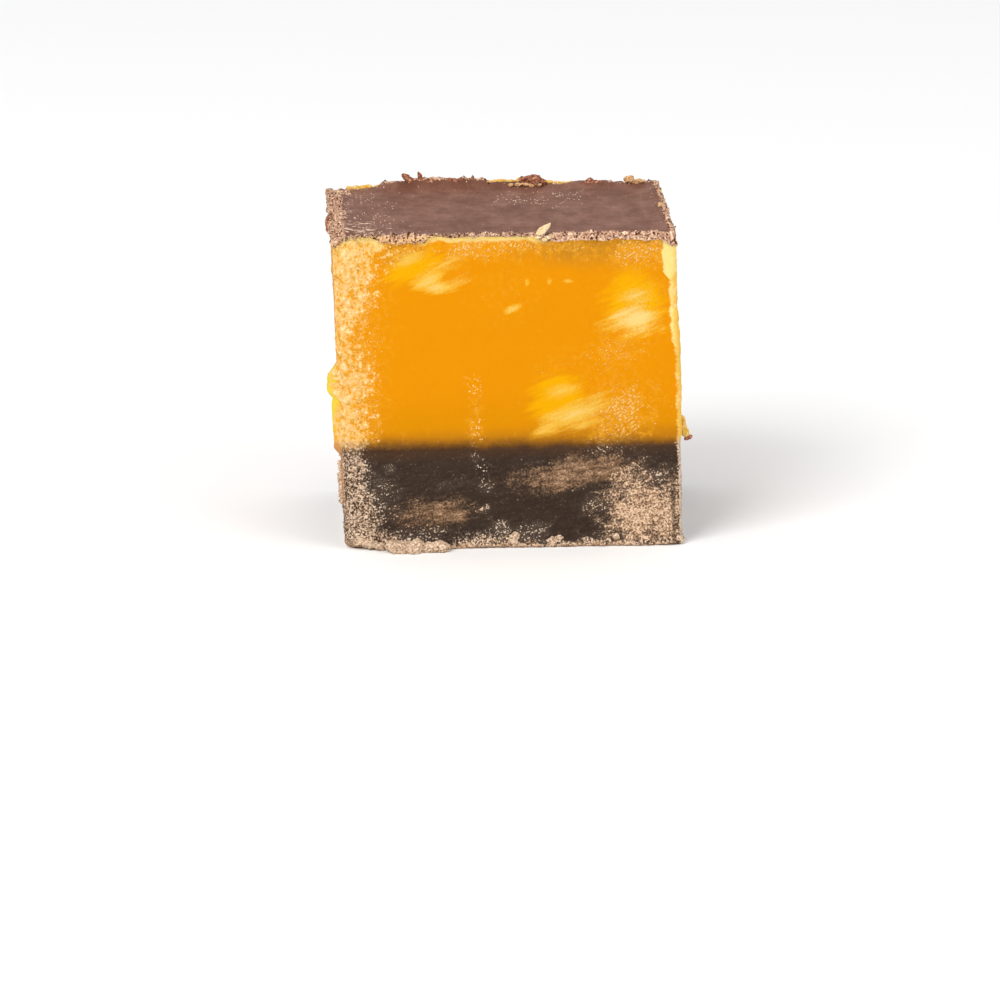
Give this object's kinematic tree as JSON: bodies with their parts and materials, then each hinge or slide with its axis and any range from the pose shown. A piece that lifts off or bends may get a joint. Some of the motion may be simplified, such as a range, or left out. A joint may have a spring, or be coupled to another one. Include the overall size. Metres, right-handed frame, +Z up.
{
  "type": "layered fudge cube",
  "caption": "Hand-cut cube of layered fudge: dark fudge base, thick orange fudge middle and a thin milk chocolate coat, with crumbly cut edges",
  "frame": {"origin": "middle of the bounding box in plan, on the flat face that the cube stands on", "axes": "+X to the right seen from the front cut face, +Y from the front to the back, +Z up through the layers to the chocolate"},
  "size_m": [0.0293, 0.0217, 0.0273],
  "materials": {
    "dark_fudge": "matt, close-grained, crumbly and grey-beige at the edges",
    "orange_fudge": "satin and slightly translucent, pale and porous where torn",
    "chocolate": "satin set chocolate with a crumbly cut edge"
  },
  "bodies": {
    "root": {"base_fudge": "dark_fudge", "middle_fudge": "orange_fudge", "chocolate_coat": "chocolate"}
  },
  "joints": []
}
